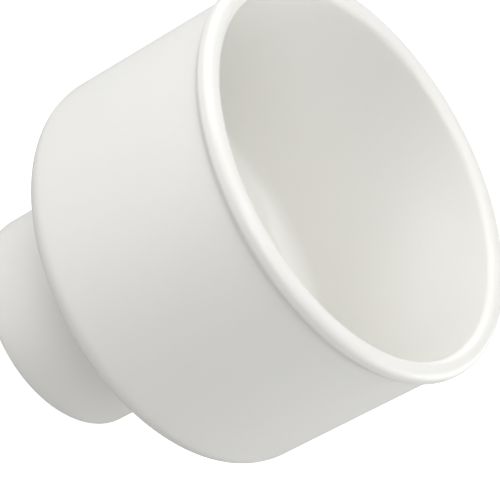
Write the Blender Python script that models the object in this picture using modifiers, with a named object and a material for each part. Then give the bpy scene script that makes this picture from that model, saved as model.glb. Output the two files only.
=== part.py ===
"""Eccentric pipe reducer: a moulded body, and the lip seal and retaining ring of its small push-fit socket.

The fitting stands on its small end. +Z is the axis of the large socket and points out of its mouth. The small
socket's axis is parallel to it, set off towards -Y. Lengths are in metres.
"""
import math

import bmesh
import bpy

MM = 0.001

# pipes that the fitting joins
LARGE_PIPE_DIAMETER = 110.0 * MM
SMALL_PIPE_DIAMETER = 50.0 * MM
AXIS_OFFSET = 12.0 * MM

# large socket
LARGE_SOCKET_CLEARANCE = 0.4 * MM
LARGE_WALL = 3.8 * MM
LARGE_SOCKET_DEPTH = 68.8 * MM
FLOOR_THICKNESS = 3.8 * MM
FLOOR_FILLET = 6.5 * MM
SHOULDER_FILLET = 8.0 * MM

# bead round the large mouth
BEAD_STAND_OUT = 2.0 * MM
BEAD_HEIGHT = 5.4 * MM
BEAD_OUTER_ROUND = 2.4 * MM
BEAD_INNER_ROUND = 2.6 * MM
BEAD_ROOT_ROUND = 1.6 * MM

# small end
SMALL_END_LENGTH = 30.7 * MM
SMALL_SOCKET_CLEARANCE = 0.3 * MM
SMALL_SOCKET_WALL = 6.7 * MM
PIPE_STOP_WIDTH = 2.3 * MM
PIPE_STOP_THICKNESS = 6.0 * MM
THROAT_ROUND = 2.5 * MM
NECK_FILLET = 2.5 * MM
END_ROUND = 1.0 * MM

# seal chamber, open at the small mouth
CHAMBER_WALL = 2.8 * MM
CHAMBER_DEPTH = 14.6 * MM
SNAP_GROOVE_DEPTH = 0.8 * MM
SNAP_GROOVE_WIDTH = 2.0 * MM
SNAP_GROOVE_HEIGHT = 3.0 * MM
MOUTH_CHAMFER = 0.6 * MM

# lip seal
SEAL_HEIGHT = 7.6 * MM
SEAL_BAND = 1.8 * MM
LIP_SQUEEZE = 0.6 * MM
LIP_THICKNESS = 1.1 * MM

# retaining ring
RING_RECESS = 0.4 * MM
RING_PIPE_CLEARANCE = 0.5 * MM
RING_LEAD_IN = 1.2 * MM
RING_TOP_FLARE = 1.4 * MM

FIT_GAP = 0.3 * MM
OVERRUN = 6.0 * MM
JOIN_DEPTH = 2.0 * MM
STEPS = 72
ARC_STEPS = 4

# sizes that follow from the ones above
LARGE_BORE_RADIUS = LARGE_PIPE_DIAMETER / 2 + LARGE_SOCKET_CLEARANCE
BODY_RADIUS = LARGE_BORE_RADIUS + LARGE_WALL
BEAD_RADIUS = BODY_RADIUS + BEAD_STAND_OUT
SHOULDER_Z = SMALL_END_LENGTH
FLOOR_Z = SHOULDER_Z + FLOOR_THICKNESS
MOUTH_Z = FLOOR_Z + LARGE_SOCKET_DEPTH
SMALL_SOCKET_DEPTH = FLOOR_Z - PIPE_STOP_THICKNESS
SMALL_BORE_RADIUS = SMALL_PIPE_DIAMETER / 2 + SMALL_SOCKET_CLEARANCE
NECK_RADIUS = SMALL_BORE_RADIUS + SMALL_SOCKET_WALL
THROAT_RADIUS = SMALL_BORE_RADIUS - PIPE_STOP_WIDTH
CHAMBER_RADIUS = NECK_RADIUS - CHAMBER_WALL
SEAL_TOP_Z = CHAMBER_DEPTH - FIT_GAP
SEAL_BOTTOM_Z = SEAL_TOP_Z - SEAL_HEIGHT


def arc(centre, radius, start_degrees, end_degrees, steps=ARC_STEPS):
    """Points of an arc in the profile plane, as (distance from the axis, height)."""
    points = []
    for step in range(steps + 1):
        angle = math.radians(start_degrees + (end_degrees - start_degrees) * step / steps)
        points.append((centre[0] + radius * math.cos(angle), centre[1] + radius * math.sin(angle)))
    return points


def make_material(name, colour, roughness):
    material = bpy.data.materials.new(name)
    material.use_nodes = True
    shader = material.node_tree.nodes["Principled BSDF"]
    shader.inputs["Base Color"].default_value = (*colour, 1.0)
    shader.inputs["Roughness"].default_value = roughness
    shader.inputs["Metallic"].default_value = 0.0
    return material


def make_collection(name):
    collection = bpy.data.collections.new(name)
    bpy.context.scene.collection.children.link(collection)
    return collection


def make_turned(name, profile, centre_y, collection, ring=False):
    """Turn a profile about the vertical line at y = centre_y. A ring's profile is a closed loop off the axis."""
    mesh = bpy.data.meshes.new(name)
    shape = bmesh.new()
    verts = [shape.verts.new((radius, 0.0, height)) for radius, height in profile]
    for first, second in zip(verts, verts[1:]):
        shape.edges.new((first, second))
    if ring:
        shape.edges.new((verts[-1], verts[0]))
    shape.to_mesh(mesh)
    shape.free()
    turned = bpy.data.objects.new(name, mesh)
    turned.location = (0.0, centre_y, 0.0)
    collection.objects.link(turned)
    screw = turned.modifiers.new("turn", "SCREW")
    screw.axis = "Z"
    screw.steps = STEPS
    screw.render_steps = STEPS
    screw.use_merge_vertices = True
    screw.merge_threshold = 0.00001
    screw.use_smooth_shade = True
    return turned


def hide_cutter(cutter):
    cutter.hide_render = True
    cutter.display_type = "WIRE"


def add_boolean(target, other, operation):
    boolean = target.modifiers.new(operation.lower(), "BOOLEAN")
    boolean.object = other
    boolean.operation = operation
    boolean.solver = "EXACT"


def cup_profile():
    """The large socket as a closed cup: out across the floor, up the bore, over the bead and down the outside."""
    root_z = MOUTH_Z - BEAD_HEIGHT
    points = [(0.0, FLOOR_Z)]
    points += arc((LARGE_BORE_RADIUS - FLOOR_FILLET, FLOOR_Z + FLOOR_FILLET), FLOOR_FILLET, -90, 0, 6)
    points += arc((LARGE_BORE_RADIUS + BEAD_INNER_ROUND, MOUTH_Z - BEAD_INNER_ROUND), BEAD_INNER_ROUND, 180, 90)
    points += arc((BEAD_RADIUS - BEAD_OUTER_ROUND, MOUTH_Z - BEAD_OUTER_ROUND), BEAD_OUTER_ROUND, 90, 0)
    points += arc((BEAD_RADIUS - BEAD_ROOT_ROUND, root_z + BEAD_ROOT_ROUND), BEAD_ROOT_ROUND, 0, -60, 3)
    points.append((BODY_RADIUS, root_z))
    points += arc((BODY_RADIUS - SHOULDER_FILLET, SHOULDER_Z + SHOULDER_FILLET), SHOULDER_FILLET, 0, -90, 6)
    points.append((0.0, SHOULDER_Z))
    return points


def neck_profile():
    """The small end as a solid tube: its root flares into the shoulder and ends inside the floor."""
    join_z = SHOULDER_Z + min(JOIN_DEPTH, FLOOR_THICKNESS / 2)
    flare = arc((NECK_RADIUS + NECK_FILLET, SHOULDER_Z - NECK_FILLET), NECK_FILLET, 105, 180)
    points = [(0.0, join_z), (flare[0][0], join_z)]
    points += flare
    points += arc((NECK_RADIUS - END_ROUND, END_ROUND), END_ROUND, 0, -90)
    points.append((0.0, 0.0))
    return points


def bore_profile():
    """What is cut away round the small axis: throat, pipe socket and seal chamber."""
    mouth_edge = CHAMBER_RADIUS + MOUTH_CHAMFER
    groove_radius = CHAMBER_RADIUS + SNAP_GROOVE_DEPTH
    groove_top = SNAP_GROOVE_HEIGHT + SNAP_GROOVE_WIDTH / 2
    groove_bottom = SNAP_GROOVE_HEIGHT - SNAP_GROOVE_WIDTH / 2
    throat_edge = arc((THROAT_RADIUS + THROAT_ROUND, FLOOR_Z - THROAT_ROUND), THROAT_ROUND, 105, 180)
    points = [(0.0, FLOOR_Z + OVERRUN), (throat_edge[0][0], FLOOR_Z + OVERRUN)]
    points += throat_edge
    points.append((THROAT_RADIUS, SMALL_SOCKET_DEPTH))
    points.append((SMALL_BORE_RADIUS, SMALL_SOCKET_DEPTH))
    points.append((SMALL_BORE_RADIUS, CHAMBER_DEPTH))
    points.append((CHAMBER_RADIUS, CHAMBER_DEPTH))
    points.append((CHAMBER_RADIUS, groove_top + SNAP_GROOVE_DEPTH))
    points.append((groove_radius, groove_top))
    points.append((groove_radius, groove_bottom))
    points.append((CHAMBER_RADIUS, groove_bottom))
    points.append((CHAMBER_RADIUS, MOUTH_CHAMFER))
    points.append((mouth_edge, 0.0))
    points.append((mouth_edge, -OVERRUN))
    points.append((0.0, -OVERRUN))
    return points


def seal_profile():
    """A rubber band against the chamber wall, with one lip that leans inwards and up the pipe."""
    outer = CHAMBER_RADIUS - FIT_GAP
    band = outer - SEAL_BAND
    tip = SMALL_PIPE_DIAMETER / 2 - LIP_SQUEEZE
    tip_z = SEAL_TOP_Z - SEAL_BAND
    root_z = SEAL_BOTTOM_Z + SEAL_BAND
    return [
        (outer, SEAL_TOP_Z),
        (outer, SEAL_BOTTOM_Z),
        (band, SEAL_BOTTOM_Z),
        (tip, tip_z - LIP_THICKNESS),
        (tip, tip_z),
        (tip + LIP_THICKNESS / 2, tip_z + LIP_THICKNESS / 4),
        (band, root_z + LIP_THICKNESS),
        (band, SEAL_TOP_Z),
    ]


def ring_profile():
    """A stiff ring in the mouth of the chamber, with a rib on its outside for the snap groove."""
    outer = CHAMBER_RADIUS - FIT_GAP
    rib = outer + SNAP_GROOVE_DEPTH
    bore = SMALL_PIPE_DIAMETER / 2 + RING_PIPE_CLEARANCE
    top_z = SEAL_BOTTOM_Z - FIT_GAP
    rib_bottom = SNAP_GROOVE_HEIGHT - SNAP_GROOVE_WIDTH / 2 + FIT_GAP
    rib_top = SNAP_GROOVE_HEIGHT + SNAP_GROOVE_WIDTH / 2 - FIT_GAP
    return [
        (outer, top_z),
        (outer, rib_top + SNAP_GROOVE_DEPTH),
        (rib, rib_top),
        (rib, rib_bottom),
        (outer, rib_bottom),
        (outer, RING_RECESS),
        (bore + RING_LEAD_IN, RING_RECESS),
        (bore, RING_RECESS + RING_LEAD_IN),
        (bore, top_z - RING_TOP_FLARE),
        (bore + RING_TOP_FLARE / 2, top_z),
    ]


def make_body(parts, cutters):
    body = make_turned("reducer_body", cup_profile(), 0.0, parts)
    neck = make_turned("neck_tool", neck_profile(), -AXIS_OFFSET, cutters)
    bore = make_turned("bore_tool", bore_profile(), -AXIS_OFFSET, cutters)
    hide_cutter(neck)
    hide_cutter(bore)
    add_boolean(body, neck, "UNION")
    add_boolean(body, bore, "DIFFERENCE")
    body.data.materials.append(make_material("white_moulding", (0.80, 0.80, 0.78), 0.32))


def make_seal(parts):
    seal = make_turned("lip_seal", seal_profile(), -AXIS_OFFSET, parts, ring=True)
    seal.data.materials.append(make_material("black_rubber", (0.03, 0.03, 0.03), 0.6))


def make_ring(parts):
    ring = make_turned("seal_retaining_ring", ring_profile(), -AXIS_OFFSET, parts, ring=True)
    ring.data.materials.append(make_material("grey_plastic", (0.45, 0.46, 0.47), 0.45))


def main():
    for old in list(bpy.data.objects):
        bpy.data.objects.remove(old, do_unlink=True)
    parts = make_collection("eccentric_reducer")
    cutters = make_collection("cutters")
    make_body(parts, cutters)
    make_seal(parts)
    make_ring(parts)


main()
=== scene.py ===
import math

import bmesh
import bpy
from mathutils import Matrix, Vector


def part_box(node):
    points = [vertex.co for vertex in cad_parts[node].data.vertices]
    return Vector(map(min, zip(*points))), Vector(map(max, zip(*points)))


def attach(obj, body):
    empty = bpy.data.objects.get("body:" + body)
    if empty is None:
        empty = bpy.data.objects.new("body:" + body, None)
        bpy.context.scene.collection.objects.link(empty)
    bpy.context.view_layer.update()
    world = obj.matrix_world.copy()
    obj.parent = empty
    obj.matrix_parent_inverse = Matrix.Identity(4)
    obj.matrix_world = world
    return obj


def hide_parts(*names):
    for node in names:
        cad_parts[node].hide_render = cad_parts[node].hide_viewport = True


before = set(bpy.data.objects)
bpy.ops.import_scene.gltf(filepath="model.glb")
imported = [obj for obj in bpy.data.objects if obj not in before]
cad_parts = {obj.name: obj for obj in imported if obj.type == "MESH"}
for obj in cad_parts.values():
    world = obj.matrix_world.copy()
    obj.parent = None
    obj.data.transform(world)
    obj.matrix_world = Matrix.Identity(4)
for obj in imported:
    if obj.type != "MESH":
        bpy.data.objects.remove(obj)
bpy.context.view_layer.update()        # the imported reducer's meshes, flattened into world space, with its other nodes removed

mm = 0.001
rootBody = "root"


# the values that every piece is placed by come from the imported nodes
bodyHigh = Vector(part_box("reducer_body")[1])
sealLow, sealHigh = (Vector(corner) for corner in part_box("lip_seal"))
mouthZ = bodyHigh.z
beadRadius = bodyHigh.x
axisOffset = (sealLow.y + sealHigh.y) / 2       # the small socket's axis, towards -Y


def arcPoints(centre, radius, startDegrees, endDegrees, steps):
    points = []
    for step in range(steps + 1):
        angle = math.radians(startDegrees + (endDegrees - startDegrees) * step / steps)
        points.append((centre[0] + radius * math.cos(angle), centre[1] + radius * math.sin(angle)))
    return points


def linePoints(start, end, steps):
    # points between start and end, both left out
    return [(start[0] + (end[0] - start[0]) * step / steps, start[1] + (end[1] - start[1]) * step / steps)
            for step in range(1, steps)]


# noise settings that every moulded skin shares
skinNoise = {
    "swellDetail": 2.0,
    "grainDetail": 3.0,
    "toneDetail": 4.0,
    "polishDetail": 5.0,
    "polishScale": 210.0,
    "polishDistortion": 0.6,
}
edgeWear = {
    "fullPointiness": 0.62,      # edges this sharp are worn all over
    "speckleDetail": 4.0,
}
noiseMiddle = (0.3, 0.7)         # nearly all of a noise lies between these


def newGroup(name, inputs, outputs):
    group = bpy.data.node_groups.new(name, "ShaderNodeTree")
    for label, kind, value in inputs:
        socket = group.interface.new_socket(label, in_out="INPUT", socket_type=kind)
        if value is not None:
            socket.default_value = value
    for label, kind in outputs:
        group.interface.new_socket(label, in_out="OUTPUT", socket_type=kind)
    return group, group.nodes.new("NodeGroupInput"), group.nodes.new("NodeGroupOutput")


def mouldedSkinGroup():
    # the slow swell, fine grain and faint flow of a moulded surface
    group, given, made = newGroup(
        "mouldedSkin",
        [("Vector", "NodeSocketVector", None), ("Swell Scale", "NodeSocketFloat", 90.0),
         ("Grain Scale", "NodeSocketFloat", 1800.0), ("Grain Amount", "NodeSocketFloat", 0.25),
         ("Tone Scale", "NodeSocketFloat", 40.0)],
        [("Height", "NodeSocketFloat"), ("Tone", "NodeSocketFloat"), ("Polish", "NodeSocketFloat")])
    link = group.links.new
    swell = group.nodes.new("ShaderNodeTexNoise")
    swell.inputs["Detail"].default_value = skinNoise["swellDetail"]
    grain = group.nodes.new("ShaderNodeTexNoise")
    grain.inputs["Detail"].default_value = skinNoise["grainDetail"]
    tone = group.nodes.new("ShaderNodeTexNoise")
    tone.inputs["Detail"].default_value = skinNoise["toneDetail"]
    polish = group.nodes.new("ShaderNodeTexNoise")
    polish.inputs["Detail"].default_value = skinNoise["polishDetail"]
    polish.inputs["Distortion"].default_value = skinNoise["polishDistortion"]
    polish.inputs["Scale"].default_value = skinNoise["polishScale"]
    for noise, scale in ((swell, "Swell Scale"), (grain, "Grain Scale"), (tone, "Tone Scale")):
        link(given.outputs["Vector"], noise.inputs["Vector"])
        link(given.outputs[scale], noise.inputs["Scale"])
    link(given.outputs["Vector"], polish.inputs["Vector"])
    grainPart = group.nodes.new("ShaderNodeMath")
    grainPart.operation = "MULTIPLY"
    link(grain.outputs["Fac"], grainPart.inputs[0])
    link(given.outputs["Grain Amount"], grainPart.inputs[1])
    height = group.nodes.new("ShaderNodeMath")
    height.operation = "ADD"
    link(swell.outputs["Fac"], height.inputs[0])
    link(grainPart.outputs[0], height.inputs[1])
    link(height.outputs[0], made.inputs["Height"])
    link(tone.outputs["Fac"], made.inputs["Tone"])
    link(polish.outputs["Fac"], made.inputs["Polish"])
    return group


def edgeWearGroup():
    # speckled rubs on sharp convex edges, and nothing on open surface
    group, given, made = newGroup(
        "edgeWear",
        [("Vector", "NodeSocketVector", None), ("Speckle Scale", "NodeSocketFloat", 700.0),
         ("Sharpness", "NodeSocketFloat", 0.52)],
        [("Mask", "NodeSocketFloat")])
    link = group.links.new
    geometry = group.nodes.new("ShaderNodeNewGeometry")
    edge = group.nodes.new("ShaderNodeMapRange")
    edge.inputs["From Max"].default_value = edgeWear["fullPointiness"]
    link(geometry.outputs["Pointiness"], edge.inputs["Value"])
    link(given.outputs["Sharpness"], edge.inputs["From Min"])
    speckle = group.nodes.new("ShaderNodeTexNoise")
    speckle.inputs["Detail"].default_value = edgeWear["speckleDetail"]
    link(given.outputs["Vector"], speckle.inputs["Vector"])
    link(given.outputs["Speckle Scale"], speckle.inputs["Scale"])
    broken = group.nodes.new("ShaderNodeMath")
    broken.operation = "MULTIPLY"
    link(edge.outputs["Result"], broken.inputs[0])
    link(speckle.outputs["Fac"], broken.inputs[1])
    link(broken.outputs[0], made.inputs["Mask"])
    return group


skinGroup = mouldedSkinGroup()
wearGroup = edgeWearGroup()


def placeGroup(material, group, values):
    node = material.node_tree.nodes.new("ShaderNodeGroup")
    node.node_tree = group
    for label, value in values.items():
        node.inputs[label].default_value = value
    return node


def mapRange(material, source, low, high):
    # spreads the middle of a noise over low to high
    node = material.node_tree.nodes.new("ShaderNodeMapRange")
    node.inputs["From Min"].default_value, node.inputs["From Max"].default_value = noiseMiddle
    node.inputs["To Min"].default_value = low
    node.inputs["To Max"].default_value = high
    material.node_tree.links.new(source, node.inputs["Value"])
    return node.outputs["Result"]


def colourBetween(material, factor, first, second):
    node = material.node_tree.nodes.new("ShaderNodeMix")
    node.data_type = "RGBA"
    node.inputs["A"].default_value = (*first, 1.0)
    node.inputs["B"].default_value = (*second, 1.0)
    material.node_tree.links.new(factor, node.inputs["Factor"])
    return node.outputs["Result"]


def mouldedMaterial(name, look):
    material = bpy.data.materials.new(name)
    material.use_nodes = True
    link = material.node_tree.links.new
    shader = material.node_tree.nodes["Principled BSDF"]
    place = material.node_tree.nodes.new("ShaderNodeTexCoord")
    skin = placeGroup(material, skinGroup, look["skin"])
    wear = placeGroup(material, wearGroup, look["wear"])
    link(place.outputs["Object"], skin.inputs["Vector"])
    link(place.outputs["Object"], wear.inputs["Vector"])
    tone = mapRange(material, skin.outputs["Tone"], 0.0, 1.0)
    base = colourBetween(material, tone, look["colour"], look["toneColour"])
    worn = material.node_tree.nodes.new("ShaderNodeMix")
    worn.data_type = "RGBA"
    worn.inputs["B"].default_value = (*look["wornColour"], 1.0)
    link(base, worn.inputs["A"])
    link(wear.outputs["Mask"], worn.inputs["Factor"])
    link(worn.outputs["Result"], shader.inputs["Base Color"])
    link(mapRange(material, skin.outputs["Polish"], *look["roughness"]), shader.inputs["Roughness"])
    shader.inputs["IOR"].default_value = look["ior"]
    shader.inputs["Specular IOR Level"].default_value = look["specular"]
    shader.inputs["Coat Weight"].default_value = look["coat"]
    shader.inputs["Coat Roughness"].default_value = look["coatRoughness"]
    bump = material.node_tree.nodes.new("ShaderNodeBump")
    bump.inputs["Strength"].default_value = look["bumpStrength"]
    bump.inputs["Distance"].default_value = look["bumpDistance"]
    link(skin.outputs["Height"], bump.inputs["Height"])
    link(bump.outputs["Normal"], shader.inputs["Normal"])
    return material


weldDistance = 0.001 * mm


def turningTree():
    # turns a profile round the large axis, and slides the small end's rows off it
    tree = bpy.data.node_groups.new("turnProfile", "GeometryNodeTree")
    tree.is_modifier = True
    socket = tree.interface.new_socket
    socket("Profile", in_out="INPUT", socket_type="NodeSocketGeometry")
    socket("Steps", in_out="INPUT", socket_type="NodeSocketInt")
    socket("Axis Offset", in_out="INPUT", socket_type="NodeSocketFloat")
    socket("Material", in_out="INPUT", socket_type="NodeSocketMaterial")
    socket("Geometry", in_out="OUTPUT", socket_type="NodeSocketGeometry")
    node = tree.nodes.new
    link = tree.links.new
    given = node("NodeGroupInput")
    made = node("NodeGroupOutput")

    size = node("GeometryNodeAttributeDomainSize")
    link(given.outputs["Profile"], size.inputs["Geometry"])
    columns = node("ShaderNodeMath")                # one more than the steps: the seam is welded
    columns.operation = "ADD"
    columns.inputs[1].default_value = 1.0
    link(given.outputs["Steps"], columns.inputs[0])
    grid = node("GeometryNodeMeshGrid")             # rows run along the profile, columns round the axis
    link(size.outputs["Point Count"], grid.inputs["Vertices Y"])
    link(columns.outputs[0], grid.inputs["Vertices X"])

    def worked(operation, first, second=0.0):
        # a Math node on sockets or numbers
        sums = node("ShaderNodeMath")
        sums.operation = operation
        for place, value in enumerate((first, second)):
            if isinstance(value, float):
                sums.inputs[place].default_value = value
            else:
                link(value, sums.inputs[place])
        return sums.outputs[0]

    index = node("GeometryNodeInputIndex")
    count = size.outputs["Point Count"]
    middle = worked("ADD", index.outputs[0], 0.5)   # half a point on, so that the division can't round down
    column = worked("FLOOR", worked("DIVIDE", middle, count))
    row = worked("SUBTRACT", index.outputs[0], worked("MULTIPLY", column, count))
    angle = worked("MULTIPLY", worked("DIVIDE", column, given.outputs["Steps"]), math.tau)

    position = node("GeometryNodeInputPosition")
    sample = node("GeometryNodeSampleIndex")
    sample.data_type = "FLOAT_VECTOR"
    link(given.outputs["Profile"], sample.inputs["Geometry"])
    link(position.outputs[0], sample.inputs["Value"])
    link(row, sample.inputs["Index"])
    slide = node("GeometryNodeInputNamedAttribute")
    slide.data_type = "FLOAT"
    slide.inputs["Name"].default_value = "slide"
    slideSample = node("GeometryNodeSampleIndex")
    slideSample.data_type = "FLOAT"
    link(given.outputs["Profile"], slideSample.inputs["Geometry"])
    link(slide.outputs["Attribute"], slideSample.inputs["Value"])
    link(row, slideSample.inputs["Index"])

    apart = node("ShaderNodeSeparateXYZ")
    link(sample.outputs["Value"], apart.inputs[0])
    together = node("ShaderNodeCombineXYZ")
    link(worked("MULTIPLY", apart.outputs["X"], worked("COSINE", angle)), together.inputs["X"])
    across = worked("MULTIPLY", apart.outputs["X"], worked("SINE", angle))
    moved = worked("MULTIPLY", slideSample.outputs["Value"], given.outputs["Axis Offset"])
    link(worked("ADD", across, moved), together.inputs["Y"])
    link(apart.outputs["Z"], together.inputs["Z"])
    put = node("GeometryNodeSetPosition")
    link(grid.outputs["Mesh"], put.inputs["Geometry"])
    link(together.outputs[0], put.inputs["Position"])

    weld = node("GeometryNodeMergeByDistance")
    weld.inputs["Distance"].default_value = weldDistance
    link(put.outputs["Geometry"], weld.inputs["Geometry"])
    smooth = node("GeometryNodeSetShadeSmooth")
    link(weld.outputs["Geometry"], smooth.inputs["Geometry"])
    real = node("GeometryNodeRealizeInstances")
    link(smooth.outputs["Geometry"], real.inputs["Geometry"])
    coat = node("GeometryNodeSetMaterial")
    link(real.outputs["Geometry"], coat.inputs["Geometry"])
    link(given.outputs["Material"], coat.inputs["Material"])
    link(coat.outputs["Geometry"], made.inputs["Geometry"])
    return tree


turnTree = turningTree()


def socketKey(tree, label):
    return next(item.identifier for item in tree.interface.items_tree
                if item.item_type == "SOCKET" and item.in_out == "INPUT" and item.name == label)


def turnPiece(name, rows, steps, material):
    # rows: (distance from the axis, height, 0 for the large axis or 1 for the small one)
    mesh = bpy.data.meshes.new(name + "Profile")
    mesh.from_pydata([(radius, 0.0, height) for radius, height, slide in rows],
                     [(i, i + 1) for i in range(len(rows) - 1)], [])
    mesh.attributes.new("slide", "FLOAT", "POINT").data.foreach_set("value", [slide for _, _, slide in rows])
    profile = bpy.data.objects.new(name + "Profile", mesh)
    bpy.context.scene.collection.objects.link(profile)
    turn = profile.modifiers.new("turn", "NODES")
    turn.node_group = turnTree
    turn[socketKey(turnTree, "Steps")] = steps
    turn[socketKey(turnTree, "Axis Offset")] = axisOffset
    turn[socketKey(turnTree, "Material")] = material
    graph = bpy.context.evaluated_depsgraph_get()
    plain = bpy.data.meshes.new_from_object(profile.evaluated_get(graph))
    bpy.data.objects.remove(profile, do_unlink=True)
    piece = bpy.data.objects.new(name, plain)
    bpy.context.scene.collection.objects.link(piece)
    shape = bmesh.new()
    shape.from_mesh(plain)
    bmesh.ops.recalc_face_normals(shape, faces=shape.faces)
    shape.to_mesh(plain)
    shape.free()
    plain.shade_smooth()
    print(name, len(plain.vertices), "vertices", len(plain.polygons), "faces")
    return piece


moulding = {
    "steps": 288,
    "filletSteps": 20,
    "beadSteps": 14,
    "roundSteps": 10,
    "creaseSteps": 8,
    "wallSteps": 24,
    "neckSteps": 16,
    "boreRadius": 55.4 * mm,
    "wall": 3.8 * mm,
    "shoulderZ": 30.7 * mm,
    "floorThickness": 3.8 * mm,
    "floorFillet": 6.5 * mm,
    "shoulderFillet": 8.0 * mm,
    "beadHeight": 5.4 * mm,
    "beadOuterRound": 2.4 * mm,
    "beadInnerRound": 2.6 * mm,
    "beadRootRound": 2.0 * mm,
    "beadCrease": 2.2 * mm,
    "neckRadius": 32.0 * mm,
    "neckFillet": 2.5 * mm,
    "neckEndRound": 1.0 * mm,
    "throatRadius": 23.0 * mm,
    "throatRound": 2.5 * mm,
    "stopZ": 28.5 * mm,
    "socketRadius": 25.3 * mm,
    "chamberRadius": 29.2 * mm,
    "chamberDepth": 14.6 * mm,
    "grooveDepth": 0.8 * mm,
    "grooveLow": 2.0 * mm,
    "grooveHigh": 4.0 * mm,
    "mouthChamfer": 0.6 * mm,
}

whiteLook = {
    "colour": (0.860, 0.854, 0.822),
    "toneColour": (0.868, 0.861, 0.828),
    "wornColour": (0.88, 0.876, 0.85),
    "roughness": (0.44, 0.54),
    "ior": 1.49,
    "specular": 0.25,
    "coat": 0.35,
    "coatRoughness": 0.1,
    "bumpStrength": 0.25,
    "bumpDistance": 0.00004,
    "skin": {"Swell Scale": 90.0, "Grain Scale": 1800.0, "Grain Amount": 0.2, "Tone Scale": 45.0},
    "wear": {"Speckle Scale": 700.0, "Sharpness": 0.52},
}


def mouldingRows(m):
    bodyRadius = m["boreRadius"] + m["wall"]
    floorZ = m["shoulderZ"] + m["floorThickness"]
    rootZ = mouthZ - m["beadHeight"]
    large = []                                     # up the bore, over the bead, down the outside
    floorFlat = m["boreRadius"] - m["floorFillet"]
    large += arcPoints((floorFlat, floorZ + m["floorFillet"]), m["floorFillet"], -90, 0,
                       m["filletSteps"])
    top = (m["boreRadius"], mouthZ - m["beadInnerRound"])
    large += linePoints(large[-1], top, m["wallSteps"])
    large += arcPoints((top[0] + m["beadInnerRound"], top[1]), m["beadInnerRound"], 180, 90, m["roundSteps"])
    large += arcPoints((beadRadius - m["beadOuterRound"], mouthZ - m["beadOuterRound"]),
                       m["beadOuterRound"], 90, 0, m["beadSteps"])
    root, crease = m["beadRootRound"], m["beadCrease"]
    large += arcPoints((beadRadius - root, rootZ + root), root, 0, -45, m["creaseSteps"])
    half = math.sqrt(0.5)      # the bead's underside slopes in at 45 degrees, then hollows out
    slope = beadRadius - bodyRadius - (root + crease) * (1 - half)
    creaseZ = rootZ + root * (1 - half) - slope - crease * half
    large += arcPoints((bodyRadius + crease, creaseZ), crease, 135, 180, m["creaseSteps"])
    foot = (bodyRadius, m["shoulderZ"] + m["shoulderFillet"])
    large += linePoints(large[-1], foot, m["wallSteps"])
    large += arcPoints((foot[0] - m["shoulderFillet"], foot[1]), m["shoulderFillet"], 0, -90,
                       m["filletSteps"])
    small = []                                     # down the neck, round its end, up inside to the throat
    neck = m["neckRadius"]
    small += arcPoints((neck + m["neckFillet"], m["shoulderZ"] - m["neckFillet"]), m["neckFillet"], 90, 180,
                       m["roundSteps"])
    end = (neck, m["neckEndRound"])
    small += linePoints(small[-1], end, m["neckSteps"])
    small += arcPoints((neck - m["neckEndRound"], m["neckEndRound"]), m["neckEndRound"], 0, -90,
                       m["creaseSteps"])
    chamber = m["chamberRadius"]
    small += [(chamber + m["mouthChamfer"], 0.0), (chamber, m["mouthChamfer"]), (chamber, m["grooveLow"]),
              (chamber + m["grooveDepth"], m["grooveLow"]), (chamber + m["grooveDepth"], m["grooveHigh"]),
              (chamber, m["grooveHigh"] + m["grooveDepth"]), (chamber, m["chamberDepth"]),
              (m["socketRadius"], m["chamberDepth"]), (m["socketRadius"], m["stopZ"]),
              (m["throatRadius"], m["stopZ"])]
    throatTop = (m["throatRadius"] + m["throatRound"], floorZ - m["throatRound"])
    small += arcPoints(throatTop, m["throatRound"], 180, 90, m["roundSteps"])
    rows = [(radius, height, 1.0) for radius, height in small]
    rows = [(radius, height, 0.0) for radius, height in large] + rows
    return rows + rows[:1]                         # the loop closes across the floor


whitePlastic = mouldedMaterial("whiteMoulding", whiteLook)
bodyPiece = turnPiece("reducerMoulding", mouldingRows(moulding), moulding["steps"], whitePlastic)
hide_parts("reducer_body")
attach(bodyPiece, rootBody)
print("moulding done")


# the seal and the ring keep their CAD shape and get a finish
rubberLook = {
    "colour": (0.022, 0.022, 0.023),
    "toneColour": (0.034, 0.034, 0.035),
    "wornColour": (0.06, 0.06, 0.06),
    "roughness": (0.55, 0.72),
    "ior": 1.5,
    "specular": 0.35,
    "coat": 0.0,
    "coatRoughness": 0.3,
    "bumpStrength": 0.4,
    "bumpDistance": 0.00005,
    "skin": {"Swell Scale": 260.0, "Grain Scale": 2600.0, "Grain Amount": 0.7, "Tone Scale": 160.0},
    "wear": {"Speckle Scale": 900.0, "Sharpness": 0.52},
}
ringLook = {
    "colour": (0.44, 0.45, 0.46),
    "toneColour": (0.48, 0.49, 0.50),
    "wornColour": (0.60, 0.61, 0.62),
    "roughness": (0.42, 0.55),
    "ior": 1.49,
    "specular": 0.45,
    "coat": 0.0,
    "coatRoughness": 0.3,
    "bumpStrength": 0.3,
    "bumpDistance": 0.00004,
    "skin": {"Swell Scale": 200.0, "Grain Scale": 2200.0, "Grain Amount": 0.5, "Tone Scale": 110.0},
    "wear": {"Speckle Scale": 900.0, "Sharpness": 0.52},
}


def finishNode(nodeName, materialName, look):
    bpy.data.objects[nodeName].material_slots[0].material = mouldedMaterial(materialName, look)


finishNode("lip_seal", "blackRubber", rubberLook)
finishNode("seal_retaining_ring", "greyPlastic", ringLook)
print("seal and ring done")


studio = {
    "floorSize": 6.0,
    "floorColour": (0.52, 0.52, 0.52),
    "floorRoughness": 0.9,
    "floorGlow": 0.8,
    "worldStrength": 0.0,     # the lamps give all the light
}
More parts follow.
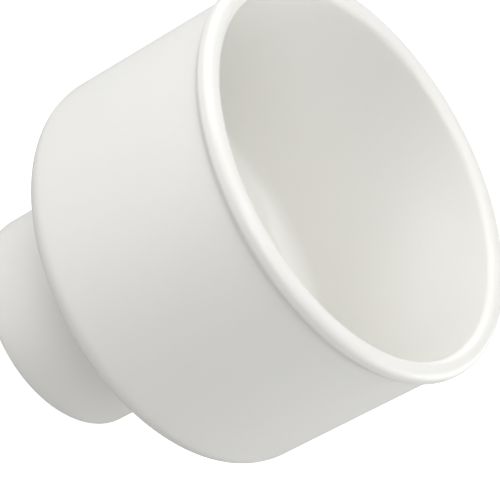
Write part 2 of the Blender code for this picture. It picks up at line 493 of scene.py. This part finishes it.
# each light stands off the middle of the object: degrees round from -Y towards +X, and degrees up
lights = {
    "overhead": {"azimuth": 0.0, "elevation": 64.0, "distance": 1.3, "size": 1.1, "power": 5.0},
    "front": {"azimuth": 30.0, "elevation": 38.0, "distance": 1.3, "size": 1.1, "power": 5.8},
    "left": {"azimuth": -60.0, "elevation": 38.0, "distance": 1.3, "size": 1.1, "power": 6.4},
    "leftLow": {"azimuth": -60.0, "elevation": 12.0, "distance": 1.3, "size": 1.1, "power": 6.2},
    "rearLeft": {"azimuth": -125.0, "elevation": 12.0, "distance": 1.3, "size": 1.1, "power": 7.1},
    "right": {"azimuth": 120.0, "elevation": 38.0, "distance": 1.3, "size": 1.1, "power": 3.8},
    "rightLow": {"azimuth": 120.0, "elevation": 12.0, "distance": 1.3, "size": 1.1, "power": 3.6},
    "rearRight": {"azimuth": 155.0, "elevation": 12.0, "distance": 1.3, "size": 1.1, "power": 8.4},
    "glintTop": {"azimuth": -60.0, "elevation": 85.0, "distance": 1.3, "size": 0.2, "power": 0.8},
    "glintRear": {"azimuth": -162.0, "elevation": 57.0, "distance": 1.3, "size": 0.2, "power": 0.5},
    "glintFront": {"azimuth": 12.0, "elevation": 27.0, "distance": 1.3, "size": 0.2, "power": 0.5},
}
view = {
    "azimuth": 15.07,         # degrees round from -Y towards +X
    "elevation": 33.14,
    "roll": 61.46,
    "distance": 0.9482,
    "lens": 252.07,
    "sensorWidth": 36.0,
    "clipEnd": 20.0,
    "aim": (0.00951, -0.01853, 0.07212),
}


def makeFloor():
    mesh = bpy.data.meshes.new("floor")
    half = studio["floorSize"] / 2
    mesh.from_pydata([(-half, -half, 0.0), (half, -half, 0.0), (half, half, 0.0), (-half, half, 0.0)],
                     [], [(0, 1, 2, 3)])
    floor = bpy.data.objects.new("floor", mesh)
    bpy.context.scene.collection.objects.link(floor)
    material = bpy.data.materials.new("paleFloor")
    material.use_nodes = True
    shader = material.node_tree.nodes["Principled BSDF"]
    shader.inputs["Base Color"].default_value = (*studio["floorColour"], 1.0)
    shader.inputs["Roughness"].default_value = studio["floorRoughness"]
    shader.inputs["Specular IOR Level"].default_value = 0.0
    paths = material.node_tree.nodes.new("ShaderNodeLightPath")
    # lifts the floor to white without lighting the object
    glow = material.node_tree.nodes.new("ShaderNodeMath")
    glow.operation = "MULTIPLY"
    glow.inputs[1].default_value = studio["floorGlow"]
    material.node_tree.links.new(paths.outputs["Is Camera Ray"], glow.inputs[0])
    material.node_tree.links.new(glow.outputs[0], shader.inputs["Emission Strength"])
    shader.inputs["Emission Color"].default_value = (1.0, 1.0, 1.0, 1.0)
    mesh.materials.append(material)


def makeWorld():
    world = bpy.data.worlds.new("studio")
    world.use_nodes = True
    world.node_tree.nodes["Background"].inputs["Strength"].default_value = studio["worldStrength"]
    bpy.context.scene.world = world


def awayFrom(azimuth, elevation):
    turn, rise = math.radians(azimuth), math.radians(elevation)
    return Vector((math.sin(turn) * math.cos(rise), -math.cos(turn) * math.cos(rise), math.sin(rise)))


def makeLight(name, values):
    lamp = bpy.data.lights.new(name, "AREA")
    lamp.shape = "DISK"
    lamp.size = values["size"]
    lamp.energy = values["power"]
    holder = bpy.data.objects.new(name, lamp)
    bpy.context.scene.collection.objects.link(holder)
    away = awayFrom(values["azimuth"], values["elevation"])
    holder.location = Vector((0.0, 0.0, mouthZ / 2)) + away * values["distance"]
    holder.rotation_euler = away.to_track_quat("Z", "Y").to_euler()


def makeCamera():
    camera = bpy.data.objects.new("camera", bpy.data.cameras.new("camera"))
    bpy.context.scene.collection.objects.link(camera)
    back = awayFrom(view["azimuth"], view["elevation"])
    turned = back.to_track_quat("Z", "Y").to_matrix().to_4x4()
    roll = Matrix.Rotation(math.radians(view["roll"]), 4, "Z")
    camera.matrix_world = Matrix.Translation(Vector(view["aim"]) + back * view["distance"]) @ turned @ roll
    camera.data.lens = view["lens"]
    camera.data.sensor_width = view["sensorWidth"]
    camera.data.clip_end = view["clipEnd"]
    bpy.context.scene.camera = camera


makeFloor()
makeWorld()
for lightName, lightValues in lights.items():
    makeLight(lightName, lightValues)
makeCamera()
bpy.context.scene.view_settings.view_transform = "Standard"
print("stage done")
